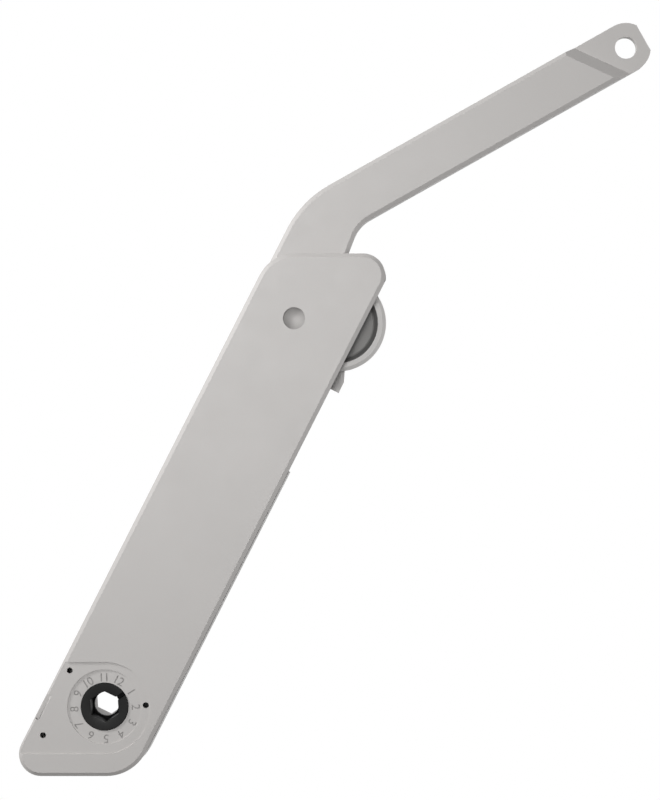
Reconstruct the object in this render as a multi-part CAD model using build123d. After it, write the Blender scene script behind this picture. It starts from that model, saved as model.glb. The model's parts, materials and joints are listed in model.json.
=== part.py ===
from build123d import *
import math
import os

# Lift-up flap stay: a slim housing that swings on a hexagonal stub, an arm folding at its upper
# end, an eccentric on the arm that drives a spring carriage, and a dial that sets the springs.
# The model is made flat on a bench: x across the housing, y along it, z out of the cabinet wall.
# At the end every piece is stood up in the row's frame: +X right, +Z up, +Y into the wall.
# The origin is the centre of the hexagonal mounting hole, on the wall.

# Stance, in degrees from the horizontal
HOUSING_TILT = 63.07
REACH_TILT = 39.3
STRIP_TILT = 29.35
RAMP_TILT = 65.5

# Two equal links
HUB_TO_ELBOW = 195.0
ELBOW_SIDE = -3.1
ARM_REACH = 195.0

# Housing: depth is measured from the wall
STANDOFF = 1.5
HOUSING_DEPTH = 19.4
HOUSING_WIDTH = 51.8
HOUSING_TOP = 204.6
HOUSING_BOTTOM = -31.4
CORNER_TOP_LEFT = 18.0
CORNER_TOP_RIGHT = 10.0
CORNER_BOTTOM_RIGHT = 20.0
CORNER_BOTTOM_LEFT = 10.0
SKIN = 1.8
WALL = 1.3
BACK_THICKNESS = 1.5
BEVEL_WIDTH = 1.8
BEVEL_DROP = 1.5
SIDE_OPENING = 131.5
TRAY_LIP = 0.9
TRAY_RIM = 4.0
RIM_SLOPE = 3.6
RIM_EDGE = 0.7

# Adjuster recess in the cover
RECESS_TOP = 20.35
RECESS_BOTTOM = -21.15
RECESS_DEPTH = 0.8
DIAL_FACE_RADIUS = 16.8
DIAL_FACE_DEPTH = 0.3
PEEP_RADIUS = 1.36
PEEP_HOLES = [(-15.66, 16.37), (18.65, 0.68), (-27.72, -12.83)]
NOTCH_CENTRE = -12.6
NOTCH_LENGTH = 12.0
NOTCH_WIDTH = 1.9
NOTCH_DEPTH = 0.5

# Arm
ARM_WIDTH = 22.6
ARM_THICKNESS = 4.0
ARM_DEPTH = 8.8
CHANNEL_START = 33.0
CHANNEL_WALL = 2.2
CHANNEL_SKIN = 2.4
CHANNEL_RIBS = 3
LEG_SIDE = 12.2
LEG_TAPER = 5.7
OUTER_BEND = 48.0
INNER_BEND = 16.0
CROOK_BEND = 8.0
RAMP_DROP = 5.2
RAMP_RUN = 5.9
RAMP_START = 15.9
TAB_HOLE_RADIUS = 5.0
NOSE_SHARE = 0.815
STOP_GAP = 0.1

# Elbow pivot
PIN_RADIUS = 4.0
PIN_HEAD_RADIUS = 5.0
PIN_RECESS = 1.2
PIN_FOOT_RADIUS = 6.0
PIN_FOOT = 0.8
BUSH_WALL = 1.0
SPACER_RADIUS = 7.5

# Eccentric on the arm, and the roller that it drives
CAM_RADIUS = 22.0
CAM_OFFSET = 19.8
CAM_DIRECTION = 21.65
CAM_THICKNESS = 4.0
CAM_DISH_RADIUS = 18.3
CAM_FLOOR_RADIUS = 16.0
CAM_DISH_DEPTH = 2.0
CAM_BEVEL = 1.6
CAM_HUB_RADIUS = 7.5
CAM_LOBE_RADIUS = 10.0
RIVET_RADIUS = 2.0
RIVET_SPREAD = 5.0
FOLLOWER_RADIUS = 7.0
FOLLOWER_AXLE_RADIUS = 2.5
AXLE_HEAD_RADIUS = 4.0
AXLE_HEAD = 1.0

# Spring carriage
CARRIAGE_BOTTOM = 152.0
CARRIAGE_TOP = 167.0
CHEEK_TOP = 186.0
CHEEK_LEFT = -14.0
CHEEK_CORNER = 4.0
HORN_BOTTOM = 174.1
HORN_TIP = 30.1
HORN_SHOULDER = 179.6
HORN_TAPER = 2.8

# Springs, guides and preload seat
SPRING_PITCH = 14.5
SPRING_RADIUS = 6.6
SPRING_WIRE = 1.9
SPRING_TURNS = 9
SPRING_FLATS = 12
GUIDE_RADIUS = 3.2
GUIDE_PRESS = 6.0
UPPER_GUIDE = 29.0
LOWER_GUIDE = 34.0
SEAT_BOTTOM = 28.0
SEAT_TOP = 38.0
NOSE_RADIUS = 3.0

# Dial hub, its snail cam and the mounting bush
RING_RADIUS = 10.8
COLLAR_RADIUS = 13.0
COLLAR_THICKNESS = 1.8
RING_SET_BACK = 0.8
BARREL_RADIUS = 9.6
SNAIL_FLAT = 8.6
KEY_ACROSS_FLATS = 12.4
KEY_MOUTH_RADIUS = 7.4
KEY_MOUTH_DROP = 0.3
KEY_DEPTH = 7.8
HUB_HOLE_RADIUS = 5.53
HUB_FLOOR = 1.2
SKIRT_RADIUS = 7.6
POINTER_WIDTH = 2.0
POINTER_DEPTH = 1.6
POINTER_TILT = 33.8
RING_EDGE = 0.3
SNAIL_LOW = 13.5
SNAIL_RISE = 8.0
SNAIL_TURN = 330.0
SNAIL_STEPS = 44
SNAIL_LEAD = 10.0
SNAIL_THICKNESS = 4.0
STUB_ACROSS_FLATS = 12.0
BUSH_RADIUS = 9.0
BUSH_FLANGE_RADIUS = 12.5
BUSH_HEIGHT = 7.8
CLIP_RADIUS = 11.5
CLIP_THICKNESS = 1.0
CLIP_GAP = 9.0
GROOVE_DEPTH = 0.8

# Screws that hold the tray to the cover
SCREW_RADIUS = 1.4
SCREW_HEAD_RADIUS = 2.7
SCREW_HEAD = 1.0
SCREW_LENGTH = 9.0
BOSS_RADIUS = 2.8
SCREW_PLACES = [(-18.5, -34.0), (13.5, -21.5)]

# Clearances
RUN = 0.05
SLIDE = 0.3
FACE = 0.2
TOUCH = 0.1

# Levels above the wall, worked out once
BACK_FRONT = STANDOFF + BACK_THICKNESS
FRONT = STANDOFF + HOUSING_DEPTH
SKIN_INSIDE = FRONT - SKIN
ARM_FRONT = SKIN_INSIDE - FACE
ARM_REAR = ARM_FRONT - ARM_THICKNESS
ARM_BOTTOM = ARM_FRONT - ARM_DEPTH
TAB_FRONT = ARM_FRONT - RAMP_DROP
RIM_TOP = STANDOFF + BACK_THICKNESS + TRAY_RIM
CAM_FRONT = ARM_REAR
CAM_REAR = CAM_FRONT - CAM_THICKNESS
CHEEK_REAR = BACK_FRONT + FACE
CHEEK_FRONT = CAM_REAR - FACE
HALF = HOUSING_WIDTH / 2
TURN = 90 - HOUSING_TILT
SIN_TILT = math.sin(math.radians(HOUSING_TILT))
COS_TILT = math.cos(math.radians(HOUSING_TILT))
FULL_TURN = 360.0
BIG = 400.0


def polar(length, angle):
    return Vector(length * math.cos(math.radians(angle)), length * math.sin(math.radians(angle)))


def meet(p, p_angle, q, q_angle):
    """Where the line through p at p_angle crosses the line through q at q_angle."""
    a = polar(1, p_angle)
    b = polar(1, q_angle)
    gap = q - p
    along = (gap.X * b.Y - gap.Y * b.X) / (a.X * b.Y - a.Y * b.X)
    return p + a * along


PIN = Vector(ELBOW_SIDE, math.sqrt(HUB_TO_ELBOW**2 - ELBOW_SIDE**2))
TAB_HOLE = PIN + polar(ARM_REACH, REACH_TILT + TURN)
CAM_CENTRE = PIN + polar(CAM_OFFSET, CAM_DIRECTION)
LEFT_INSIDE = -HALF + WALL
LEG_LEFT = LEFT_INSIDE + STOP_GAP
HEEL_RADIUS = PIN.X - LEG_LEFT
BUSH_OUTSIDE = PIN_RADIUS + BUSH_WALL
# The roller stands below the pin and just clears the eccentric
ROLLER_DROP = math.sqrt((CAM_RADIUS + FOLLOWER_RADIUS + TOUCH) ** 2 - (CAM_CENTRE.X - PIN.X) ** 2)
ROLLER = Vector(PIN.X, CAM_CENTRE.Y - ROLLER_DROP)


def slab(face, low, high):
    """A flat face turned into a plate between two levels above the wall."""
    return Pos(0, 0, low) * extrude(face, high - low, dir=(0, 0, 1))


def disc(centre, radius, low, high):
    return Pos(centre.X, centre.Y, low) * Cylinder(
        radius, high - low, align=(Align.CENTER, Align.CENTER, Align.MIN)
    )


def block(left, right, bottom, top, low, high):
    return Pos(left, bottom, low) * Box(
        right - left, top - bottom, high - low, align=(Align.MIN, Align.MIN, Align.MIN)
    )


def hexagon(across_flats, low, high):
    """A hexagonal prism on the hub axis, with one of its edges under the pointer."""
    face = RegularPolygon(across_flats / 2, 6, major_radius=False, rotation=POINTER_TILT + TURN)
    return slab(face, low, high)


def level_at(height, across):
    """How far along the housing a level line of the row's frame lies, at a place across it."""
    return (height + across * COS_TILT) / SIN_TILT


def housing_outline(inset):
    """The slanted housing outline, moved in by inset, with its four rounded corners."""
    side = HALF - inset
    top = HOUSING_TOP - inset
    bottom = HOUSING_BOTTOM + inset
    corners = [
        (Vector(-side, level_at(bottom, -side)), CORNER_BOTTOM_LEFT),
        (Vector(side, level_at(bottom, side)), CORNER_BOTTOM_RIGHT),
        (Vector(side, level_at(top, side)), CORNER_TOP_RIGHT),
        (Vector(-side, level_at(top, -side)), CORNER_TOP_LEFT),
    ]
    face = Face(Wire.make_polygon([point for point, radius in corners], close=True))
    for point, radius in corners:
        corner = face.vertices().sort_by_distance(point)[0]
        face = face.fillet_2d(radius - inset, [corner])
    return face


def front_chamfer(part, width, drop):
    """Bevel every outer edge of the front face."""
    face = part.faces().filter_by(Axis.Z).group_by(Axis.Z)[-1].sort_by(SortBy.AREA)[-1]
    return chamfer(face.outer_wire().edges(), width, drop, reference=face)


def adjuster_recess():
    """The sunk field round the dial, running out through the left edge of the cover."""
    radius = (RECESS_TOP - RECESS_BOTTOM) / 2
    middle = (RECESS_TOP + RECESS_BOTTOM) / 2
    field = Pos(0, middle) * Circle(radius) + Pos(-HALF * 2, middle) * Rectangle(
        HALF * 4, RECESS_TOP - RECESS_BOTTOM
    )
    floor = FRONT - RECESS_DEPTH
    cut = slab(Rot(0, 0, TURN) * field, floor, FRONT)
    return cut + disc(Vector(0, 0), DIAL_FACE_RADIUS, floor - DIAL_FACE_DEPTH, FRONT)


def cover():
    """Front skin with bevelled edges, side walls, and screw bosses; the elbow end is open."""
    shell = slab(housing_outline(0), BACK_FRONT, FRONT)
    shell = front_chamfer(shell, BEVEL_WIDTH, BEVEL_DROP)
    shell -= slab(housing_outline(WALL), BACK_FRONT, SKIN_INSIDE)
    # The wall is left out on the right side and along the top, where the arm and eccentric pass
    shell -= block(LEFT_INSIDE, BIG, SIDE_OPENING, BIG, 0, SKIN_INSIDE)
    for across, along in SCREW_PLACES:
        shell += disc(Vector(across, along), BOSS_RADIUS, BACK_FRONT, SKIN_INSIDE + FACE)
        shell -= disc(Vector(across, along), SCREW_RADIUS, BACK_FRONT, STANDOFF + SCREW_LENGTH)
    shell -= adjuster_recess()
    shell -= disc(Vector(0, 0), RING_RADIUS + RUN, 0, FRONT)
    for across, height in PEEP_HOLES:
        place = Vector(across, height).rotate(Axis.Z, TURN)
        shell -= disc(place, PEEP_RADIUS, SKIN_INSIDE - SKIN, FRONT)
    shell -= disc(PIN, PIN_HEAD_RADIUS, SKIN_INSIDE - SKIN, FRONT)
    return shell - notch()


def notch():
    """Shallow slot at the left end of the sunk field, open to the side."""
    low = NOTCH_CENTRE - NOTCH_LENGTH / 2
    floor = FRONT - RECESS_DEPTH - NOTCH_DEPTH
    return block(-HOUSING_WIDTH, -HALF + NOTCH_WIDTH, low, low + NOTCH_LENGTH, floor, FRONT)


def back_tray():
    """Steel tray on the wall side: a low tapered rim stands round the cover, save at its open end."""
    tray = slab(housing_outline(-TRAY_LIP), STANDOFF, RIM_TOP)
    tray = front_chamfer(tray, RIM_EDGE, RIM_SLOPE)
    tray -= slab(housing_outline(-TOUCH), BACK_FRONT, RIM_TOP)
    tray -= block(LEFT_INSIDE, BIG, SIDE_OPENING, BIG, BACK_FRONT, RIM_TOP)
    tray -= disc(Vector(0, 0), BUSH_RADIUS + RUN, 0, BACK_FRONT)
    tray -= disc(PIN, PIN_RADIUS, 0, BACK_FRONT)
    tray -= disc(PIN, PIN_FOOT_RADIUS, 0, STANDOFF + PIN_FOOT)
    for across, along in SCREW_PLACES:
        tray -= disc(Vector(across, along), SCREW_RADIUS, 0, BACK_FRONT)
        tray -= disc(Vector(across, along), SCREW_HEAD_RADIUS, 0, STANDOFF + SCREW_HEAD)
    return tray


def cover_screws():
    """Screws put in from the wall side, with sunk heads."""
    screws = []
    for across, along in SCREW_PLACES:
        centre = Vector(across, along)
        head = disc(centre, SCREW_HEAD_RADIUS - TOUCH, STANDOFF, STANDOFF + SCREW_HEAD)
        screws.append(head + disc(centre, SCREW_RADIUS - RUN, STANDOFF, STANDOFF + SCREW_LENGTH - TOUCH))
    return Part() + screws


def elbow_pin():
    """Rivet through tray, eccentric and arm; its wide end sits sunk in the cover."""
    top = FRONT - PIN_RECESS
    pin = disc(PIN, PIN_RADIUS, STANDOFF, SKIN_INSIDE)
    pin += disc(PIN, PIN_FOOT_RADIUS, STANDOFF, STANDOFF + PIN_FOOT)
    return pin + disc(PIN, PIN_HEAD_RADIUS, SKIN_INSIDE, top)


def elbow_spacer():
    """Ring that holds the eccentric off the tray."""
    ring = disc(PIN, SPACER_RADIUS, BACK_FRONT, CAM_REAR - FACE)
    return ring - disc(PIN, PIN_RADIUS, 0, FRONT)


def elbow_bush():
    """Plain bearing pressed into arm and eccentric, running on the pin."""
    sleeve = disc(PIN, BUSH_OUTSIDE, CAM_REAR, ARM_FRONT)
    return sleeve - disc(PIN, PIN_RADIUS + RUN, 0, FRONT)


def strip_edges():
    """The ends of the strip's upper and lower edges, at the tab hole."""
    strip = STRIP_TILT + TURN
    return TAB_HOLE + polar(ARM_WIDTH / 2, strip + 90), TAB_HOLE + polar(ARM_WIDTH / 2, strip - 90)


def arm_outline():
    """Heel round the pin, leaning leg, bend and straight strip, as far as the tab hole."""
    strip = STRIP_TILT + TURN
    upper, lower = strip_edges()
    leg = PIN + polar(LEG_SIDE, LEG_TAPER)
    heel_left = Vector(LEG_LEFT, PIN.Y)
    outer = meet(heel_left, 90, upper, strip)
    inner = meet(leg, 90 + LEG_TAPER, lower, strip)
    face = Face(Wire.make_polygon([leg, inner, lower, upper, outer, heel_left], close=True))
    face = face.fillet_2d(OUTER_BEND, [face.vertices().sort_by_distance(outer)[0]])
    face = face.fillet_2d(INNER_BEND, [face.vertices().sort_by_distance(inner)[0]])
    lobes = Pos(*PIN) * Circle(HEEL_RADIUS) + Pos(*CAM_CENTRE) * Circle(CAM_LOBE_RADIUS)
    outline = face + make_hull(lobes.edges())
    crook = meet(leg, 90 + LEG_TAPER, CAM_CENTRE + Vector(0, CAM_LOBE_RADIUS), 0)
    return outline.fillet_2d(CROOK_BEND, [outline.vertices().sort_by_distance(crook)[0]])


def ramp_cut():
    """All that lies in front of the ramp and the tab, which are set back along a slant."""
    across = polar(1, RAMP_TILT + TURN)
    start = TAB_HOLE - across * RAMP_START
    side = Plane(origin=(start.X, start.Y, ARM_FRONT), x_dir=across, z_dir=across.cross(Vector(0, 0, 1)))
    profile = Polyline(
        [(0, 0), (RAMP_RUN, -RAMP_DROP), (ARM_WIDTH * 2, -RAMP_DROP), (ARM_WIDTH * 2, 0)], close=True
    )
    return extrude(side * make_face(profile), ARM_WIDTH * 2, both=True)


def channel(outline):
    """Hollow in the back of leg and strip, crossed by ribs, ending short of the ramp."""
    strip = STRIP_TILT + TURN
    across = polar(1, RAMP_TILT + TURN)
    end = TAB_HOLE - across * (RAMP_START + CHANNEL_WALL)
    hollow = slab(offset(outline, -CHANNEL_WALL), ARM_BOTTOM, ARM_FRONT - CHANNEL_SKIN)
    hollow -= block(-BIG, BIG, -BIG, PIN.Y + CHANNEL_START + CHANNEL_WALL, 0, FRONT)
    hollow = split(hollow, bisect_by=Plane(end, z_dir=across), keep=Keep.BOTTOM)
    spacing = ARM_REACH / 2 / CHANNEL_RIBS
    for count in range(CHANNEL_RIBS):
        place = TAB_HOLE - polar(RAMP_START * 2 + spacing * count, strip)
        rib = Box(CHANNEL_WALL, ARM_WIDTH, FRONT, align=(Align.CENTER, Align.CENTER, Align.MIN))
        hollow -= Pos(place.X, place.Y, 0) * Rot(0, 0, strip) * rib
    return hollow


def tab_end():
    """Flat end of the tab: a round nose cut off square."""
    strip = STRIP_TILT + TURN
    half = ARM_WIDTH / 2
    nose = Circle(half) & Pos(half * NOSE_SHARE - half, 0) * Rectangle(ARM_WIDTH, ARM_WIDTH)
    return slab(Pos(*TAB_HOLE) * Rot(0, 0, strip) * nose, ARM_BOTTOM, TAB_FRONT)


def arm():
    """Bevelled casting, hollow behind, with a ramp down to the thin tab; a plate at the pin."""
    outline = arm_outline()
    body = front_chamfer(slab(outline, ARM_BOTTOM, ARM_FRONT), BEVEL_WIDTH, BEVEL_DROP)
    body -= ramp_cut()
    body -= block(-BIG, BIG, -BIG, PIN.Y + CHANNEL_START, 0, ARM_REAR)
    body -= channel(outline)
    body += tab_end()
    body -= disc(TAB_HOLE, TAB_HOLE_RADIUS, 0, FRONT)
    body -= disc(PIN, BUSH_OUTSIDE, 0, FRONT)
    for centre in rivet_centres():
        body -= disc(centre, RIVET_RADIUS, 0, FRONT)
    return body


def rivet_centres():
    """Two rivets through the middle of the eccentric, in line with the pin."""
    return [CAM_CENTRE + polar(side * RIVET_SPREAD, CAM_DIRECTION + 90) for side in (-1, 1)]


def eccentric_cam():
    """Dished disc set off from the pin, with a hub round the pin and a boss under the arm."""
    body = disc(CAM_CENTRE, CAM_DISH_RADIUS, CAM_REAR, CAM_FRONT - FACE)
    floor = CAM_FRONT - CAM_DISH_DEPTH
    dish = Pos(CAM_CENTRE.X, CAM_CENTRE.Y, floor) * Cone(
        CAM_FLOOR_RADIUS, CAM_DISH_RADIUS, CAM_DISH_DEPTH, align=(Align.CENTER, Align.CENTER, Align.MIN)
    )
    body -= dish
    body += disc(CAM_CENTRE, CAM_LOBE_RADIUS, floor, CAM_FRONT)
    body += disc(PIN, CAM_HUB_RADIUS, CAM_REAR, CAM_FRONT)
    body -= disc(PIN, BUSH_OUTSIDE, 0, FRONT)
    for centre in rivet_centres():
        body -= disc(centre, RIVET_RADIUS, 0, FRONT)
    return body


def cam_rim():
    """Ring pressed on the eccentric, bevelled in front and open at the pin; the roller runs on it."""
    ring = disc(CAM_CENTRE, CAM_RADIUS, CAM_REAR, CAM_FRONT - FACE)
    edge = ring.edges().filter_by(GeomType.CIRCLE).group_by(Axis.Z)[-1]
    ring = chamfer(edge, CAM_BEVEL) - disc(CAM_CENTRE, CAM_DISH_RADIUS, 0, FRONT)
    return ring - disc(PIN, CAM_HUB_RADIUS, 0, FRONT)


def cam_rivets():
    return Part() + [disc(centre, RIVET_RADIUS, CAM_REAR, ARM_FRONT) for centre in rivet_centres()]


def spring_places():
    return [Vector(side * SPRING_PITCH, 0) for side in (-1, 0, 1)]


SPRING_LEVEL = (BACK_FRONT + SKIN_INSIDE) / 2


def along_rod(across, start, end, radius):
    """A round rod along the housing, on a spring's centre line."""
    rod = Cylinder(radius, end - start, align=(Align.CENTER, Align.CENTER, Align.MIN))
    return Pos(across, start, SPRING_LEVEL) * Rot(-90, 0, 0) * rod


def carriage():
    """Cross block over the springs, with a low cheek that carries the roller and the horn."""
    side = HALF - WALL - SLIDE
    low = BACK_FRONT + FACE
    body = block(-side, side, CARRIAGE_BOTTOM, CARRIAGE_TOP, low, SKIN_INSIDE - FACE)
    cheek = Polyline(
        [
            (CHEEK_LEFT, CARRIAGE_TOP - FACE),
            (side, CARRIAGE_TOP - FACE),
            (side, HORN_BOTTOM),
            (HORN_TIP, HORN_BOTTOM),
            (HORN_TIP, HORN_SHOULDER),
            (HORN_TIP - HORN_TAPER, CHEEK_TOP),
            (CHEEK_LEFT + CHEEK_CORNER, CHEEK_TOP),
            (CHEEK_LEFT, CHEEK_TOP - CHEEK_CORNER),
        ],
        close=True,
    )
    body += slab(make_face(cheek), CHEEK_REAR, CHEEK_FRONT)
    body -= disc(ROLLER, FOLLOWER_AXLE_RADIUS, 0, FRONT)
    for place in spring_places():
        body -= along_rod(place.X, CARRIAGE_BOTTOM, CARRIAGE_BOTTOM + GUIDE_PRESS, GUIDE_RADIUS)
    return body


def follower_roller():
    roller = disc(ROLLER, FOLLOWER_RADIUS, CAM_REAR, CAM_FRONT - FACE)
    roller -= disc(ROLLER, FOLLOWER_AXLE_RADIUS + RUN, 0, FRONT)
    return roller - disc(ROLLER, AXLE_HEAD_RADIUS + FACE, CAM_FRONT - FACE - AXLE_HEAD - FACE, FRONT)


def roller_axle():
    top = CAM_FRONT - FACE
    stem = disc(ROLLER, FOLLOWER_AXLE_RADIUS, CHEEK_REAR, top)
    return stem + disc(ROLLER, AXLE_HEAD_RADIUS, top - AXLE_HEAD, top)


def upper_guides():
    rods = [
        along_rod(place.X, CARRIAGE_BOTTOM - UPPER_GUIDE, CARRIAGE_BOTTOM + GUIDE_PRESS, GUIDE_RADIUS)
        for place in spring_places()
    ]
    return Part() + rods


def lower_guides():
    rods = [
        along_rod(place.X, SEAT_TOP - GUIDE_PRESS, SEAT_TOP + LOWER_GUIDE, GUIDE_RADIUS)
        for place in spring_places()
    ]
    return Part() + rods


def wire_corners(turn, rise):
    """The four corners of the square wire after some turns: inner and outer, below and above."""
    corners = []
    for radius, level in ((-1, -1), (0, -1), (0, 0), (-1, 0)):
        place = polar(SPRING_RADIUS + radius * SPRING_WIRE, turn * FULL_TURN)
        corners.append(Vector(place.X, place.Y, rise * turn + (level + 1) * SPRING_WIRE))
    return corners


def spring(across):
    """Compression spring between the preload seat and the carriage, its wire in short flats."""
    length = CARRIAGE_BOTTOM - SEAT_TOP - 2 * TOUCH
    rise = (length - SPRING_WIRE) / SPRING_TURNS
    steps = SPRING_TURNS * SPRING_FLATS
    rings = [wire_corners(step / SPRING_FLATS, rise) for step in range(steps + 1)]
    faces = [rings[0][::-1], rings[-1]]
    for ring, after in zip(rings, rings[1:]):
        for side in range(len(ring)):
            near, far = side, (side + 1) % len(ring)
            faces.append([ring[near], ring[far], after[far]])
            faces.append([ring[near], after[far], after[near]])
    shell = Shell([Face(Wire.make_polygon(corners, close=True)) for corners in faces])
    return Pos(across, SEAT_TOP + TOUCH, SPRING_LEVEL) * Rot(-90, 0, 0) * Solid(shell)


SNAIL_MIDDLE = BACK_FRONT + (SKIN_INSIDE - BACK_FRONT) / 2
SNAIL_LEVEL = SNAIL_MIDDLE - SNAIL_THICKNESS / 2


def preload_seat():
    """Cross block under the springs, with a round-ended nose that rides on the snail cam."""
    side = HALF - WALL - SLIDE
    body = block(-side, side, SEAT_BOTTOM, SEAT_TOP, BACK_FRONT + FACE, SKIN_INSIDE - FACE)
    tip = SNAIL_LOW + TOUCH + NOSE_RADIUS
    low = SNAIL_LEVEL
    high = SNAIL_LEVEL + SNAIL_THICKNESS
    body += block(-NOSE_RADIUS, NOSE_RADIUS, tip, SEAT_BOTTOM, low, high)
    body += disc(Vector(0, tip), NOSE_RADIUS, low, high)
    for place in spring_places():
        body -= along_rod(place.X, SEAT_TOP - GUIDE_PRESS, SEAT_TOP, GUIDE_RADIUS)
    return body


def barrel_flats(radius, low, high):
    """Round barrel with two flats, which key the snail cam to it."""
    barrel = disc(Vector(0, 0), radius, low, high)
    return barrel & block(-SNAIL_FLAT, SNAIL_FLAT, -BIG, BIG, low, high)


def snail_cam():
    """Spiral plate: its edge rises evenly with the turn and lifts the preload seat."""
    points = []
    for step in range(SNAIL_STEPS + 1):
        share = step / SNAIL_STEPS
        points.append(polar(SNAIL_LOW + SNAIL_RISE * share, 90 + SNAIL_TURN * share))
    lead = polar(SNAIL_LOW, 90 - SNAIL_LEAD)
    plate = slab(make_face(Polyline(points + [lead], close=True)), SNAIL_LEVEL, SNAIL_LEVEL + SNAIL_THICKNESS)
    return plate - barrel_flats(BARREL_RADIUS, 0, FRONT)


def dial_hub():
    """Black adjuster: ring in the cover, collar under it, barrel with flats, hexagonal socket."""
    front = FRONT - RING_SET_BACK
    collar_top = SKIN_INSIDE - FACE
    bottom = BUSH_HEIGHT + FACE
    socket = front - KEY_DEPTH
    ring = disc(Vector(0, 0), RING_RADIUS, collar_top, front)
    hub = chamfer(ring.edges().filter_by(GeomType.CIRCLE).group_by(Axis.Z)[-1], RING_EDGE)
    hub += disc(Vector(0, 0), COLLAR_RADIUS, collar_top - COLLAR_THICKNESS, collar_top)
    hub += barrel_flats(BARREL_RADIUS, bottom, collar_top)
    hub -= hexagon(KEY_ACROSS_FLATS, socket, FRONT)
    hub -= Pos(0, 0, front - KEY_MOUTH_DROP) * Cone(
        KEY_ACROSS_FLATS / 2, KEY_MOUTH_RADIUS, KEY_MOUTH_DROP, align=(Align.CENTER, Align.CENTER, Align.MIN)
    )
    hub -= disc(Vector(0, 0), HUB_HOLE_RADIUS, 0, FRONT)
    hub -= disc(Vector(0, 0), SKIRT_RADIUS, 0, socket - HUB_FLOOR)
    pointer = block(0, BIG, -POINTER_WIDTH / 2, POINTER_WIDTH / 2, front - POINTER_DEPTH, FRONT)
    return hub - Rot(0, 0, POINTER_TILT + TURN) * pointer


def mount_bush():
    """Flanged bush that stays on the cabinet's hexagonal stub; the housing turns on its neck."""
    bush = disc(Vector(0, 0), BUSH_FLANGE_RADIUS, 0, STANDOFF - FACE)
    bush += disc(Vector(0, 0), BUSH_RADIUS, 0, BUSH_HEIGHT)
    bush -= hexagon(STUB_ACROSS_FLATS, 0, FRONT)
    groove = disc(Vector(0, 0), CLIP_RADIUS, BACK_FRONT + TOUCH, BACK_FRONT + TOUCH + CLIP_THICKNESS)
    groove -= disc(Vector(0, 0), BUSH_RADIUS - GROOVE_DEPTH, 0, FRONT)
    return bush - groove


def bush_clip():
    """Open retaining ring in the groove of the bush."""
    low = BACK_FRONT + TOUCH
    ring = disc(Vector(0, 0), CLIP_RADIUS, low, low + CLIP_THICKNESS)
    ring -= disc(Vector(0, 0), BUSH_RADIUS - GROOVE_DEPTH, 0, FRONT)
    gap = block(-CLIP_GAP / 2, CLIP_GAP / 2, -BIG, 0, low, FRONT)
    return ring - gap


def pieces():
    """Every piece by name, flat on the bench."""
    parts = {
        "cover": cover(),
        "back_tray": back_tray(),
        "cover_screws": cover_screws(),
        "elbow_pin": elbow_pin(),
        "elbow_spacer": elbow_spacer(),
        "elbow_bush": elbow_bush(),
        "arm": arm(),
        "eccentric_cam": eccentric_cam(),
        "cam_rim": cam_rim(),
        "cam_rivets": cam_rivets(),
        "spring_carriage": carriage(),
        "follower_roller": follower_roller(),
        "roller_axle": roller_axle(),
        "upper_guides": upper_guides(),
        "lower_guides": lower_guides(),
        "preload_seat": preload_seat(),
        "snail_cam": snail_cam(),
        "dial_hub": dial_hub(),
        "mount_bush": mount_bush(),
        "bush_clip": bush_clip(),
    }
    for name, place in zip(("spring_left", "spring_middle", "spring_right"), spring_places()):
        parts[name] = spring(place.X)
    return parts


STAND_UP = Plane(origin=(0, 0, 0), x_dir=(SIN_TILT, 0, -COS_TILT), z_dir=(0, -1, 0)).location

os.makedirs("parts", exist_ok=True)
for name, piece in pieces().items():
    export_step(piece.moved(STAND_UP), f"parts/{name}.step")
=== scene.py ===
import functools
import json
import math
import bpy
import bmesh
from mathutils import Matrix, Vector

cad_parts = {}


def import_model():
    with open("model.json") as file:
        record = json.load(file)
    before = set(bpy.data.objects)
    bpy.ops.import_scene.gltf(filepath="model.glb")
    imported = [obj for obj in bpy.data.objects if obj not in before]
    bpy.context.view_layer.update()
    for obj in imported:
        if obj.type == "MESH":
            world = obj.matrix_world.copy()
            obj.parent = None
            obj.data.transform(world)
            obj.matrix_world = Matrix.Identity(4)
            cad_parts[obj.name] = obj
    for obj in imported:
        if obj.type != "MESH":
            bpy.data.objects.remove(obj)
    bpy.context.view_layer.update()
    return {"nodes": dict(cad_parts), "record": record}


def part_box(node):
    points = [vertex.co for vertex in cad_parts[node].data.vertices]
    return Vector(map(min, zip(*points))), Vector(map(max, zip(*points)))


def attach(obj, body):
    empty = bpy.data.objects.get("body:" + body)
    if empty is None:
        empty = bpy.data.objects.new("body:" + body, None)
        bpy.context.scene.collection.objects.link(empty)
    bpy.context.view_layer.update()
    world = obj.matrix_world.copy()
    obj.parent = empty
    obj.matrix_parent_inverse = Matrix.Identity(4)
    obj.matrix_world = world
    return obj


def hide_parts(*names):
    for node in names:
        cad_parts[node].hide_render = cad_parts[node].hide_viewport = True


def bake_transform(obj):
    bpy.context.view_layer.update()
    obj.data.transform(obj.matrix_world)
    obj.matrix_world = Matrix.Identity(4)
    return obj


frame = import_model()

# Lift-up flap stay, dressed: powder-coated cover and arm, black adjuster with engraved numbers,
# zinc-plated inner parts. Metres throughout, in the frame's own axes.

NODES = frame["nodes"]
MM = 0.001

COVER_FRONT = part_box("cover")[0].y
HOUSING_TILT = math.radians(63.07)
ALONG = Vector((math.cos(HOUSING_TILT), 0, math.sin(HOUSING_TILT)))
ACROSS = Vector((ALONG.z, 0, -ALONG.x))
DEEP = Vector((0, 1, 0))

# Springs: round wire, with closed end coils; the share of each that the dial presses
SPRINGS = ("spring_left", "spring_middle", "spring_right")
SPRING_WIRE = 0.95 * MM
SPRING_COILS = 11
SPRING_END_COILS = 1.2
SPRING_STEPS = 28
SPRING_SIDES = 10
SPRING_SPLIT = 0.26
# How far apart the closed coils lie, in wire diameters
COIL_PITCH = 1.03

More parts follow.
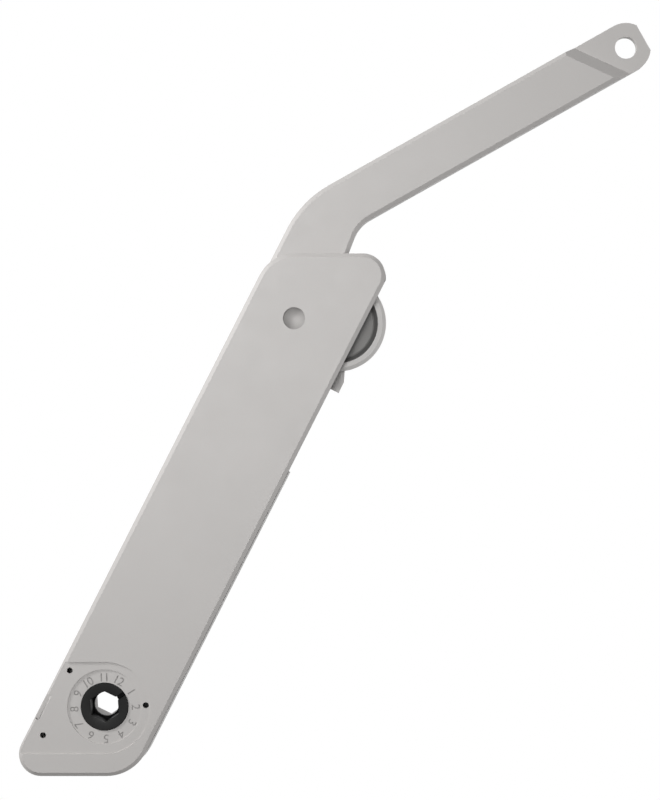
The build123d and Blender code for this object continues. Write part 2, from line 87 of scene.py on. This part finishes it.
# Numbers round the dial: the dial face, how deep it lies under the cover's front, and the text
DIAL_FACE_RADIUS = 16.8 * MM
DIAL_FACE_DEPTH = 1.45 * MM
DIAL_SEGMENTS = 144
NUMBER_COUNT = 12
NUMBER_CENTRE = (0.25 * MM, -0.71 * MM)
NUMBER_RADIUS = 13.9 * MM
NUMBER_SIZE = 5.45 * MM
NUMBER_SPACING = 0.92
NUMBER_DEPTH = 0.3 * MM
NUMBER_CURVE_STEPS = 4
ELEVEN = 11
ELEVEN_AT = math.radians(92)

# Slot at the left end of the sunk field, in the housing's own directions: one side slopes,
# and a slit closes each end
NOTCH_SIDE = -24.05 * MM
NOTCH_SLOPE = 0.6 * MM
NOTCH_ENDS = (-18.6 * MM, -6.6 * MM)
FIELD_DEPTH = 0.8 * MM
NOTCH_DEPTH = 0.5 * MM
SLIT = 0.5 * MM
# The slope's cutter stops short of the slot's floor, in shares of its depth
NOTCH_SHARE = 0.95

# The tray's lip is left out beside the side opening, from where the rim ends to past the top
LIP_START = 131.5 * MM
LIP_END = 240.0 * MM
HOUSING_HALF = 25.9 * MM
LIP_MARGIN = 0.02 * MM
LIP_OUTSIDE = 1.1 * HOUSING_HALF

# Elbow pin: its head is dished
PIN_PLACE = (85.54 * MM, 175.24 * MM)
PIN_DISH_RADIUS = 4.9 * MM
PIN_DISH_DEPTH = 1.0 * MM
PIN_DISH_SEGMENTS = 64
PIN_DISH_RINGS = 48

# The eccentric's axis and the edges of its dish; the depth of the adjuster's face, below which its
# black is darkened as painted shade
ECCENTRIC_PLACE = (105.26 * MM, 173.41 * MM)
DISH_FLOOR_RADIUS = 16.6 * MM
DISH_EDGE_RADIUS = 18.3 * MM
HUB_FACE_DEPTH = 0.45 * MM

# How the meshes are shaded
EDGE_ANGLE = math.radians(25)
WELD = 0.002 * MM

# Camera: straight at the wall, its centre and distance found from the photograph's perspective
VIEW_CENTRE = Vector((0.10175, 0, 0.13840))
VIEW_DISTANCE = 0.720
VIEW_HEIGHT = 0.36048
SENSOR = 36.0
CLIP_START = 0.01

# Studio: the floor lies well below, so that it doesn't light the lower edges
FLOOR_LEVEL = -1.5
FLOOR_HALF = 0.9
FLOOR_CORNERS = ((-1, -1), (1, -1), (1, 1), (-1, 1))
FLOOR_TONES = ((0.84, 0.84, 0.84), (0.88, 0.88, 0.88))
LIGHTS = (
    ("key", (-0.72, -0.40, 0.67), (0.08, 0, 0.22), 0.28, 6.9),
    ("front", (-0.05, -0.85, 0.28), (0.08, 0, 0.18), 0.5, 4.45),
    ("fill", (2.0, -0.77, -0.62), (0.08, 0, 0.15), 1.0, 6.7),
)
# World: its strength before the stay and behind it, where one turns into the other, and how it
# fades from the level of the stay to straight up and down
WORLD_BEFORE, WORLD_BEHIND = 0.05, 0.95
WORLD_TURN = (-0.4, 0.1)
WORLD_BAND = (0.1, 0.8)
WORLD_FADE = (1.0, 0.2)


# Materials


PAINT = (0.525, 0.508, 0.495)
PALE_PAINT = (0.66, 0.645, 0.63)
DARK_PAINT = (0.22, 0.216, 0.21)
DISH_SLOPE_TONE = (0.115, 0.113, 0.11)
ADJUSTER_BLACK = (0.013, 0.013, 0.0127)
# Below the adjuster's face its black is darkened as painted shade, and its gloss lowered
SOCKET_SHADE_BLACK = (0.003, 0.003, 0.003)
ADJUSTER_GLOSS, SOCKET_GLOSS = 0.115, 0.045
PAINT_GLOSS = 0.4
# Painted shade in the pin's dish and in the engraved numbers, as a share of the paint's colour
PIN_DISH_SHADE = 0.55
GROOVE_SHADE = 0.62
# The part of a noise's range that is used, and the noises' scales, in waves per metre
NOISE_LOW, NOISE_HIGH = 0.25, 0.75
PAINT_MOTTLING, PAINT_GRAIN, PAINT_SHEEN, PAINT_PEEL = 35.0, 2600.0, 120.0, 1500.0
PLASTIC_CLOUDS, PLASTIC_SHEEN, PLASTIC_GRAIN = 220.0, 500.0, 3500.0
STEEL_SHEEN = 300.0
STEEL_STREAKS = (900.0, 900.0, 60.0)
# How far from an edge its wear and its painted highlight reach
PAINT_EDGE_WEAR_AND_HIGHLIGHT = 0.35 * MM
RUBBED_EDGE_WEAR_AND_HIGHLIGHT = 0.3 * MM
BEVEL_SAMPLES = 6


def new_material(name):
    material = bpy.data.materials.new(name)
    material.use_nodes = True
    tree = material.node_tree
    shader = tree.nodes["Principled BSDF"]
    return material, tree, shader


def add(tree, kind, **values):
    """A node with its settings, and its input sockets set by name."""
    node = tree.nodes.new(kind)
    for name, value in values.items():
        if hasattr(node, name):
            setattr(node, name, value)
        else:
            node.inputs[name.replace("_", " ")].default_value = value
    return node


def noise(tree, scale, detail=3.0, roughness=0.5):
    """Noise in the object's own space, so that it stays put when the piece moves."""
    place = add(tree, "ShaderNodeTexCoord")
    texture = add(tree, "ShaderNodeTexNoise", Scale=scale, Detail=detail, Roughness=roughness)
    tree.links.new(place.outputs["Object"], texture.inputs["Vector"])
    return texture.outputs["Fac"]


def ramp(tree, source, low, high):
    """Brings a noise value between two limits."""
    node = add(
        tree, "ShaderNodeMapRange",
        From_Min=NOISE_LOW, From_Max=NOISE_HIGH, To_Min=low, To_Max=high,
    )
    tree.links.new(source, node.inputs["Value"])
    return node.outputs["Result"]


def edge_mask(tree, radius, gain):
    """One along the edges, nought on the flats: the rounded normal against the true one."""
    rounded = add(tree, "ShaderNodeBevel", samples=BEVEL_SAMPLES, Radius=radius)
    true = add(tree, "ShaderNodeNewGeometry")
    dot = add(tree, "ShaderNodeVectorMath", operation="DOT_PRODUCT")
    tree.links.new(rounded.outputs["Normal"], dot.inputs[0])
    tree.links.new(true.outputs["Normal"], dot.inputs[1])
    mask = add(tree, "ShaderNodeMapRange", From_Min=1.0, From_Max=1.0 - gain)
    tree.links.new(dot.outputs["Value"], mask.inputs["Value"])
    return mask.outputs["Result"]


def mix(tree, factor, a, b):
    """Colour a where factor is nought, colour b where it is one."""
    node = add(tree, "ShaderNodeMix", data_type="RGBA")
    colours = [socket for socket in node.inputs if socket.type == "RGBA"]
    for socket, value in zip(colours, (a, b)):
        if isinstance(value, (tuple, list)):
            socket.default_value = (*value, 1.0)
        else:
            tree.links.new(value, socket)
    tree.links.new(factor, node.inputs[0])
    return [socket for socket in node.outputs if socket.type == "RGBA"][0]


def beyond_radius(tree, place, radius, blur=0.01 * MM):
    """One further than a radius from an axis that runs into the wall, nought within it."""
    here = add(tree, "ShaderNodeTexCoord")
    away = add(tree, "ShaderNodeVectorMath", operation="SUBTRACT")
    away.inputs[1].default_value = (place[0], 0, place[1])
    flat = add(tree, "ShaderNodeVectorMath", operation="MULTIPLY")
    flat.inputs[1].default_value = (1, 0, 1)
    length = add(tree, "ShaderNodeVectorMath", operation="LENGTH")
    past = add(tree, "ShaderNodeMapRange", From_Min=radius - blur, From_Max=radius)
    tree.links.new(here.outputs["Object"], away.inputs[0])
    tree.links.new(away.outputs["Vector"], flat.inputs[0])
    tree.links.new(flat.outputs["Vector"], length.inputs[0])
    tree.links.new(length.outputs["Value"], past.inputs["Value"])
    return past.outputs["Result"]


def below_face(tree, face):
    """One deeper in the piece than a level, nought before it."""
    here = add(tree, "ShaderNodeTexCoord")
    split = add(tree, "ShaderNodeSeparateXYZ")
    past = add(tree, "ShaderNodeMath", operation="GREATER_THAN")
    past.inputs[1].default_value = face
    tree.links.new(here.outputs["Object"], split.inputs[0])
    tree.links.new(split.outputs["Y"], past.inputs[0])
    return past.outputs[0]


def bump(tree, shader, height, strength, distance):
    node = add(tree, "ShaderNodeBump", Strength=strength, Distance=distance)
    tree.links.new(height, node.inputs["Height"])
    tree.links.new(node.outputs["Normal"], shader.inputs["Normal"])


def scaled(colour, factor):
    return tuple(channel * factor for channel in colour)


def powder_coat(name, colour, roughness=0.46):
    """Satin powder coat: fine orange-peel, faint mottling, edges a touch lighter for thinner paint
    and as a painted highlight.
    """
    material, tree, shader = new_material(name)
    clouds = ramp(tree, noise(tree, PAINT_MOTTLING), 0.0, 1.0)
    mottled = mix(tree, clouds, scaled(colour, 0.985), scaled(colour, 1.015))
    grain = ramp(tree, noise(tree, PAINT_GRAIN, 2.0), 0.0, 0.5)
    grained = mix(tree, grain, mottled, scaled(colour, 0.955))
    # Edges a touch lighter: thinner paint, and a painted highlight
    edge_lit_and_worn = mix(tree, edge_mask(tree, PAINT_EDGE_WEAR_AND_HIGHLIGHT, 0.25), grained, scaled(colour, 1.02))
    tree.links.new(edge_lit_and_worn, shader.inputs["Base Color"])
    sheen = ramp(tree, noise(tree, PAINT_SHEEN), roughness - 0.04, roughness + 0.05)
    tree.links.new(sheen, shader.inputs["Roughness"])
    shader.inputs["Specular IOR Level"].default_value = PAINT_GLOSS
    bump(tree, shader, noise(tree, PAINT_PEEL, 2.0), 0.16, 0.05 * MM)
    return material


def moulded_plastic(name, colour, roughness=0.5):
    """Moulded plastic with a fine eroded texture, and edges lightened by rubbing and as a painted
    highlight.
    """
    material, tree, shader = new_material(name)
    clouds = ramp(tree, noise(tree, PLASTIC_CLOUDS), 0.0, 1.0)
    clouded = mix(tree, clouds, scaled(colour, 0.9), scaled(colour, 1.1))
    # Edges lightened: rubbing, and a painted highlight
    edge_lit_and_rubbed = mix(tree, edge_mask(tree, RUBBED_EDGE_WEAR_AND_HIGHLIGHT, 0.3), clouded, scaled(colour, 1.7))
    tree.links.new(edge_lit_and_rubbed, shader.inputs["Base Color"])
    sheen = ramp(tree, noise(tree, PLASTIC_SHEEN), roughness - 0.06, roughness + 0.08)
    tree.links.new(sheen, shader.inputs["Roughness"])
    bump(tree, shader, noise(tree, PLASTIC_GRAIN, 2.0), 0.2, 0.04 * MM)
    return material


def plated_steel(name, colour, roughness=0.34):
    """Zinc-plated steel: fine streaks along the piece, cloudy roughness, edges brighter from wear
    and as a painted highlight.
    """
    material, tree, shader = new_material(name)
    shader.inputs["Metallic"].default_value = 1.0
    place = add(tree, "ShaderNodeTexCoord")
    stretch = add(tree, "ShaderNodeMapping")
    stretch.inputs["Scale"].default_value = STEEL_STREAKS
    tree.links.new(place.outputs["Object"], stretch.inputs["Vector"])
    streaks = add(tree, "ShaderNodeTexNoise", Scale=1.0, Detail=4.0)
    tree.links.new(stretch.outputs["Vector"], streaks.inputs["Vector"])
    streaked = ramp(tree, streaks.outputs["Fac"], 0.0, 1.0)
    tone = mix(tree, streaked, scaled(colour, 0.86), scaled(colour, 1.1))
    # Edges brighter: wear, and a painted highlight
    bright = mix(tree, edge_mask(tree, RUBBED_EDGE_WEAR_AND_HIGHLIGHT, 0.3), tone, scaled(colour, 1.3))
    tree.links.new(bright, shader.inputs["Base Color"])
    sheen = ramp(tree, noise(tree, STEEL_SHEEN), roughness - 0.08, roughness + 0.1)
    tree.links.new(sheen, shader.inputs["Roughness"])
    bump(tree, shader, streaks.outputs["Fac"], 0.12, 0.03 * MM)
    return material


def recoloured(material, mask, colour):
    """Gives a finish a second colour, with the same grain, where the mask is one."""
    tree = material.node_tree
    shader = tree.nodes["Principled BSDF"]
    first = shader.inputs["Base Color"].links[0].from_socket
    tree.links.new(mix(tree, mask(tree), first, colour), shader.inputs["Base Color"])
    return material


def eccentric_finish():
    """Dark paint, darker still on the slope round the dish's floor."""
    material = powder_coat("eccentric_dark", DARK_PAINT, 0.5)
    rings = ((DISH_FLOOR_RADIUS, DISH_SLOPE_TONE), (DISH_EDGE_RADIUS, DARK_PAINT))
    for edge, colour in rings:
        mask = functools.partial(beyond_radius, place=ECCENTRIC_PLACE, radius=edge)
        recoloured(material, mask, colour)
    return material


def pin_finish():
    """The housing's paint, darkened towards the edge of the dished head as painted shade."""
    material = powder_coat("pin_paint", PAINT)
    edge = PIN_DISH_RADIUS
    mask = functools.partial(beyond_radius, place=PIN_PLACE, radius=edge, blur=edge)
    # Painted shade: the paint darkens towards the rim of the dish
    return recoloured(material, mask, scaled(PAINT, PIN_DISH_SHADE))


def adjuster_finish():
    """Black plastic; in the socket and in the pointer's groove, below the hub's face, a deeper
    black as painted shade, and duller.
    """
    material = moulded_plastic("black_adjuster", ADJUSTER_BLACK, 0.42)
    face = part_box("dial_hub")[0].y + HUB_FACE_DEPTH
    # Painted shade: deeper black in the socket and the pointer's groove
    recoloured(material, functools.partial(below_face, face=face), SOCKET_SHADE_BLACK)
    tree = material.node_tree
    shader = tree.nodes["Principled BSDF"]
    gloss = add(tree, "ShaderNodeMapRange", To_Min=ADJUSTER_GLOSS, To_Max=SOCKET_GLOSS)
    tree.links.new(below_face(tree, face), gloss.inputs["Value"])
    tree.links.new(gloss.outputs["Result"], shader.inputs["Specular IOR Level"])
    return material


FINISHES = {
    "housing_paint": powder_coat("cover_paint", PAINT),
    "arm_paint": powder_coat("arm_paint", PAINT),
    "eccentric_grey": powder_coat("eccentric_paint", PALE_PAINT, 0.5),
    "eccentric_dark": eccentric_finish(),
    "steel": plated_steel("zinc_steel", (0.62, 0.62, 0.63)),
    "spring_steel": plated_steel("spring_wire", (0.30, 0.30, 0.31), 0.28),
    "black_plastic": adjuster_finish(),
    "black_steel": moulded_plastic("black_oxide", (0.018, 0.018, 0.018), 0.45),
    "grey_plastic": moulded_plastic("grey_acetal", (0.52, 0.505, 0.495)),
}
HOUSING_PAINT = FINISHES["housing_paint"]
# Walls and floors of the engraved numbers and of the slot's slits: the paint darkened as painted
# shade
GROOVE_SHADE_PAINT = powder_coat("groove_painted_shade", scaled(PAINT, GROOVE_SHADE), 0.6)
PIN_PAINT = pin_finish()
# Painted light: the tray takes the paler paint, so that its lip reads lit where the cover shades
# it
TRAY_PAINT_LIT = powder_coat("tray_paint_lightened", PALE_PAINT)


# Meshes


def shade_by_edges(piece):
    """Joins the faces of a mesh and shades it smooth, apart from its sharp edges."""
    weld = piece.modifiers.new("weld", "WELD")
    weld.merge_threshold = WELD
    split = piece.modifiers.new("sharp_edges", "EDGE_SPLIT")
    split.split_angle = EDGE_ANGLE
    for polygon in piece.data.polygons:
        polygon.use_smooth = True


def dress(node, slot):
    piece = NODES[node]
    piece.data.materials.clear()
    piece.data.materials.append(FINISHES[slot])
    shade_by_edges(piece)


def facing_front(x, z, turn, y):
    """A place on a plane that faces the camera, turned anticlockwise as the camera sees it."""
    upright = Matrix.Rotation(math.radians(90), 4, "X")
    spin = Matrix.Rotation(-turn, 4, "Y")
    return Matrix.Translation((x, y, z)) @ spin @ upright


def number_solids():
    """The dial's numbers as solids, tops outward, reaching through the dial face."""
    face = COVER_FRONT + DIAL_FACE_DEPTH
    solids = []
    for count in range(1, NUMBER_COUNT + 1):
        angle = ELEVEN_AT + (ELEVEN - count) * 2 * math.pi / NUMBER_COUNT
        curve = bpy.data.curves.new(f"number_{count}", "FONT")
        curve.body = str(count)
        curve.size = NUMBER_SIZE
        curve.space_character = NUMBER_SPACING
        curve.align_x = "CENTER"
        curve.align_y = "CENTER"
        curve.resolution_u = NUMBER_CURVE_STEPS
        curve.extrude = NUMBER_DEPTH
        text = bpy.data.objects.new(f"number_{count}", curve)
        bpy.context.scene.collection.objects.link(text)
        x = NUMBER_CENTRE[0] + math.cos(angle) * NUMBER_RADIUS
        z = NUMBER_CENTRE[1] + math.sin(angle) * NUMBER_RADIUS
        text.matrix_world = facing_front(x, z, angle - math.pi / 2, face)
        bpy.context.view_layer.update()
        mesh = bpy.data.meshes.new_from_object(text)
        middle = sum((Vector(corner) for corner in text.bound_box), Vector()) / 8
        mesh.transform(Matrix.Translation(-middle))
        mesh.transform(text.matrix_world)
        bpy.data.objects.remove(text)
        solids.append(mesh)
    return solids


def joined(meshes, name, material):
    """One object from several meshes, with one material."""
    work = bmesh.new()
    for mesh in meshes:
        work.from_mesh(mesh)
    bmesh.ops.remove_doubles(work, verts=work.verts, dist=WELD)
    result = bpy.data.meshes.new(name)
    work.to_mesh(result)
    work.free()
    result.materials.clear()
    result.materials.append(material)
    piece = bpy.data.objects.new(name, result)
    bpy.context.scene.collection.objects.link(piece)
    return piece


def bar(section, low, high):
    """A straight solid along the housing, its section given across it and into the wall."""
    work = bmesh.new()
    ends = []
    for along in (low, high):
        corners = [
            work.verts.new(ACROSS * across + DEEP * deep + ALONG * along)
            for across, deep in section
        ]
        ends.append(corners)
        work.faces.new(corners)
    for index in range(len(section)):
        after = (index + 1) % len(section)
        work.faces.new((ends[0][index], ends[0][after], ends[1][after], ends[1][index]))
    bmesh.ops.recalc_face_normals(work, faces=work.faces)
    mesh = bpy.data.meshes.new("bar")
    work.to_mesh(mesh)
    work.free()
    return mesh


def notch_slope():
    """What the slot's sloping side leaves out."""
    field = COVER_FRONT + FIELD_DEPTH
    floor = field + NOTCH_SHARE * NOTCH_DEPTH
    rise = NOTCH_SLOPE * (floor - COVER_FRONT) / NOTCH_DEPTH
    section = ((NOTCH_SIDE, floor), (NOTCH_SIDE, COVER_FRONT), (NOTCH_SIDE + rise, COVER_FRONT))
    return bar(section, *NOTCH_ENDS)


def notch_slits():
    """A narrow slit at each end of the slot."""
    top = COVER_FRONT + FIELD_DEPTH - NOTCH_DEPTH
    floor = COVER_FRONT + FIELD_DEPTH + 2 * NOTCH_DEPTH
    edge = -HOUSING_HALF + NOTCH_DEPTH
    section = ((edge, top), (NOTCH_SIDE, top), (NOTCH_SIDE, floor), (edge, floor))
    return [bar(section, end - SLIT / 2, end + SLIT / 2) for end in NOTCH_ENDS]


def lip_end():
    """The length of the tray's lip that is left out beside the side opening."""
    edge = HOUSING_HALF + LIP_MARGIN
    before, behind = -HOUSING_HALF, MM
    section = ((edge, before), (LIP_OUTSIDE, before), (LIP_OUTSIDE, behind), (edge, behind))
    return bar(section, LIP_START, LIP_END)


def carved(node, slot, body, cutters, finish=None):
    """A copy of a node's mesh with the cutters taken out of it, in the node's place."""
    shell = joined([NODES[node].data], f"{node}_shell", finish or FINISHES[slot])
    for cutter in cutters:
        cut = shell.modifiers.new("carve", "BOOLEAN")
        cut.operation = "DIFFERENCE"
        cut.solver = "EXACT"
        cut.use_self = True
        cut.material_mode = "TRANSFER"
        cut.object = cutter
        bpy.context.view_layer.update()
        graph = bpy.context.evaluated_depsgraph_get()
        mesh = bpy.data.meshes.new_from_object(shell.evaluated_get(graph))
        shell.modifiers.clear()
        shell.data = mesh
        bpy.data.objects.remove(cutter)
    shade_by_edges(shell)
    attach(shell, body)
    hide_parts(node)


def dial_face():
    """The disc that sinks the dial face in the field."""
    work = bmesh.new()
    turned = Matrix.Translation((0, COVER_FRONT, 0)) @ Matrix.Rotation(math.radians(90), 4, "X")
    bmesh.ops.create_cone(
        work, cap_ends=True, segments=DIAL_SEGMENTS, radius1=DIAL_FACE_RADIUS,
        radius2=DIAL_FACE_RADIUS, depth=2 * DIAL_FACE_DEPTH, matrix=turned,
    )
    mesh = bpy.data.meshes.new("dial_face")
    work.to_mesh(mesh)
    work.free()
    return mesh


def dish_solid():
    """The ball that hollows the head of the elbow pin."""
    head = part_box("elbow_pin")[0].y
    radius = (PIN_DISH_RADIUS**2 + PIN_DISH_DEPTH**2) / (2 * PIN_DISH_DEPTH)
    middle = Matrix.Translation((PIN_PLACE[0], head + PIN_DISH_DEPTH - radius, PIN_PLACE[1]))
    work = bmesh.new()
    turned = middle @ Matrix.Rotation(math.radians(90), 4, "X")
    bmesh.ops.create_uvsphere(
        work, u_segments=PIN_DISH_SEGMENTS, v_segments=PIN_DISH_RINGS, radius=radius,
        matrix=turned,
    )
    mesh = bpy.data.meshes.new("dish")
    work.to_mesh(mesh)
    work.free()
    return mesh


def spring_rise(turn, length):
    """How high the wire's centre lies after some turns: the end coils lie close, the rest open."""
    closed = 2 * SPRING_WIRE * COIL_PITCH
    low = SPRING_WIRE + closed * min(turn, SPRING_END_COILS)
    high = closed * max(0.0, turn - (SPRING_COILS - SPRING_END_COILS))
    free = length - 2 * SPRING_WIRE - 2 * closed * SPRING_END_COILS
    open_turns = SPRING_COILS - 2 * SPRING_END_COILS
    share = min(max((turn - SPRING_END_COILS) / open_turns, 0.0), 1.0)
    return low + free * share + high


def spring_wire(span, heights, foot, radius):
    """The vertices and faces of a length of wire, as rings of points with a cap at each end."""
    vertices, faces = [], []
    for ring in span:
        angle = 2 * math.pi * ring / SPRING_STEPS
        outward = ACROSS * math.cos(angle) + DEEP * math.sin(angle)
        centre = foot + outward * radius + ALONG * heights[ring]
        for side in range(SPRING_SIDES):
            around = 2 * math.pi * side / SPRING_SIDES
            turned = outward * math.cos(around) + ALONG * math.sin(around)
            vertices.append(centre + turned * SPRING_WIRE)
    for ring in range(len(span) - 1):
        for side in range(SPRING_SIDES):
            a = ring * SPRING_SIDES + side
            b = ring * SPRING_SIDES + (side + 1) % SPRING_SIDES
            faces.append((a, b, b + SPRING_SIDES, a + SPRING_SIDES))
    faces.append(tuple(reversed(range(SPRING_SIDES))))
    faces.append(tuple(range(len(vertices) - SPRING_SIDES, len(vertices))))
    return vertices, faces


def round_spring(node):
    """A spring of round wire in place of the square one.

    The dial presses its foot and the arm its head, so that it is two pieces that meet.
    """
    points = [vertex.co for vertex in NODES[node].data.vertices]
    low, high = [], []
    for axis in (ACROSS, DEEP, ALONG):
        places = [point.dot(axis) for point in points]
        low.append(min(places))
        high.append(max(places))
    radius = (high[1] - low[1]) / 2 - SPRING_WIRE
    axis_place = ACROSS * ((low[0] + high[0]) / 2) + DEEP * ((low[1] + high[1]) / 2)
    foot = axis_place + ALONG * low[2]
    length = high[2] - low[2]
    rings = SPRING_COILS * SPRING_STEPS
    split = round(rings * SPRING_SPLIT)
    heights = [spring_rise(ring / SPRING_STEPS, length) for ring in range(rings + 1)]
    middle = foot + ALONG * heights[split]
    top = foot + ALONG * length
    lengths = (
        ("foot", range(split + 1), ("preload", "housing"), foot, middle),
        ("head", range(split, rings + 1), ("housing", "carriage"), middle, top),
    )
    for part, span, bodies, start, end in lengths:
        vertices, faces = spring_wire(span, heights, foot, radius)
        mesh = bpy.data.meshes.new(f"{node}_{part}")
        mesh.from_pydata([tuple(vertex) for vertex in vertices], [], faces)
        for polygon in mesh.polygons:
            polygon.use_smooth = len(polygon.vertices) == 4
        mesh.materials.append(FINISHES["spring_steel"])
        coil = bpy.data.objects.new(f"{node}_{part}", mesh)
        bpy.context.scene.collection.objects.link(coil)
        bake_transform(coil)
        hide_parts(node)


SLOTS = {part["node"]: part["material_slot"] for part in frame["record"]["subparts"]}
for node_name in NODES:
    if node_name not in ("cover", "elbow_pin", "back_tray", *SPRINGS):
        dress(node_name, SLOTS[node_name])
COVER_CUTS = [
    joined([dial_face()], "dial_face", HOUSING_PAINT),
    joined([notch_slope()], "notch_slope", HOUSING_PAINT),
    joined(number_solids() + notch_slits(), "grooves", GROOVE_SHADE_PAINT),
]
PIN_CUTS = [joined([dish_solid()], "dish", PIN_PAINT)]
TRAY_CUTS = [joined([lip_end()], "lip", TRAY_PAINT_LIT)]
carved("cover", "housing_paint", "housing", COVER_CUTS)
carved("elbow_pin", "arm_paint", "housing", PIN_CUTS, PIN_PAINT)
carved("back_tray", "housing_paint", "housing", TRAY_CUTS, TRAY_PAINT_LIT)
for spring_node in SPRINGS:
    round_spring(spring_node)


# Studio


def area_light(name, place, target, size, power):
    light = bpy.data.lights.new(name, "AREA")
    light.shape = "DISK"
    light.size = size
    light.energy = power
    lamp = bpy.data.objects.new(name, light)
    bpy.context.scene.collection.objects.link(lamp)
    lamp.location = place
    lamp.rotation_mode = "QUATERNION"
    lamp.rotation_quaternion = (Vector(target) - Vector(place)).to_track_quat("-Z", "Y")


def world():
    """Dim before, over and under the stay, bright behind and beside it.

    The camera, gloss and clear materials see it white.
    """
    sky = bpy.data.worlds.new("studio")
    bpy.context.scene.world = sky
    sky.use_nodes = True
    tree = sky.node_tree
    tree.nodes.clear()
    output = add(tree, "ShaderNodeOutputWorld")
    backdrop = add(tree, "ShaderNodeBackground")
    backdrop.inputs["Color"].default_value = (1.0, 1.0, 1.0, 1.0)
    rays = add(tree, "ShaderNodeLightPath")
    place = add(tree, "ShaderNodeTexCoord")
    split = add(tree, "ShaderNodeSeparateXYZ")
    tree.links.new(place.outputs["Generated"], split.inputs[0])
    level = add(
        tree, "ShaderNodeMapRange", From_Min=WORLD_TURN[0], From_Max=WORLD_TURN[1],
        To_Min=WORLD_BEFORE, To_Max=WORLD_BEHIND,
    )
    tree.links.new(split.outputs["Y"], level.inputs["Value"])
    steep = add(tree, "ShaderNodeMath", operation="ABSOLUTE")
    tree.links.new(split.outputs["Z"], steep.inputs[0])
    band = add(
        tree, "ShaderNodeMapRange", From_Min=WORLD_BAND[0], From_Max=WORLD_BAND[1],
        To_Min=WORLD_FADE[0], To_Max=WORLD_FADE[1],
    )
    tree.links.new(steep.outputs[0], band.inputs["Value"])
    both = add(tree, "ShaderNodeMath", operation="MULTIPLY")
    tree.links.new(level.outputs["Result"], both.inputs[0])
    tree.links.new(band.outputs["Result"], both.inputs[1])
    strength = both.outputs[0]
    for kind in ("Is Camera Ray", "Is Glossy Ray", "Is Transmission Ray"):
        most = add(tree, "ShaderNodeMath", operation="MAXIMUM")
        tree.links.new(rays.outputs[kind], most.inputs[0])
        tree.links.new(strength, most.inputs[1])
        strength = most.outputs[0]
    tree.links.new(strength, backdrop.inputs["Strength"])
    tree.links.new(backdrop.outputs[0], output.inputs["Surface"])


def floor():
    mesh = bpy.data.meshes.new("floor")
    corners = [(x * FLOOR_HALF, y * FLOOR_HALF, FLOOR_LEVEL) for x, y in FLOOR_CORNERS]
    mesh.from_pydata(corners, [], [(0, 1, 2, 3)])
    plane = bpy.data.objects.new("floor", mesh)
    bpy.context.scene.collection.objects.link(plane)
    material, tree, shader = new_material("pale_floor")
    shader.inputs["Roughness"].default_value = 0.8
    tone = mix(tree, ramp(tree, noise(tree, 3.0), 0.0, 1.0), *FLOOR_TONES)
    tree.links.new(tone, shader.inputs["Base Color"])
    mesh.materials.append(material)


def camera():
    data = bpy.data.cameras.new("camera")
    data.sensor_width = SENSOR
    data.lens = SENSOR * VIEW_DISTANCE / VIEW_HEIGHT
    data.clip_start = CLIP_START
    eye = bpy.data.objects.new("camera", data)
    bpy.context.scene.collection.objects.link(eye)
    eye.location = VIEW_CENTRE + Vector((0, COVER_FRONT - VIEW_DISTANCE, 0))
    eye.rotation_euler = (math.radians(90), 0, 0)
    bpy.context.scene.camera = eye


for lamp_values in LIGHTS:
    area_light(*lamp_values)
world()
floor()
camera()
bpy.context.scene.view_settings.view_transform = "Standard"
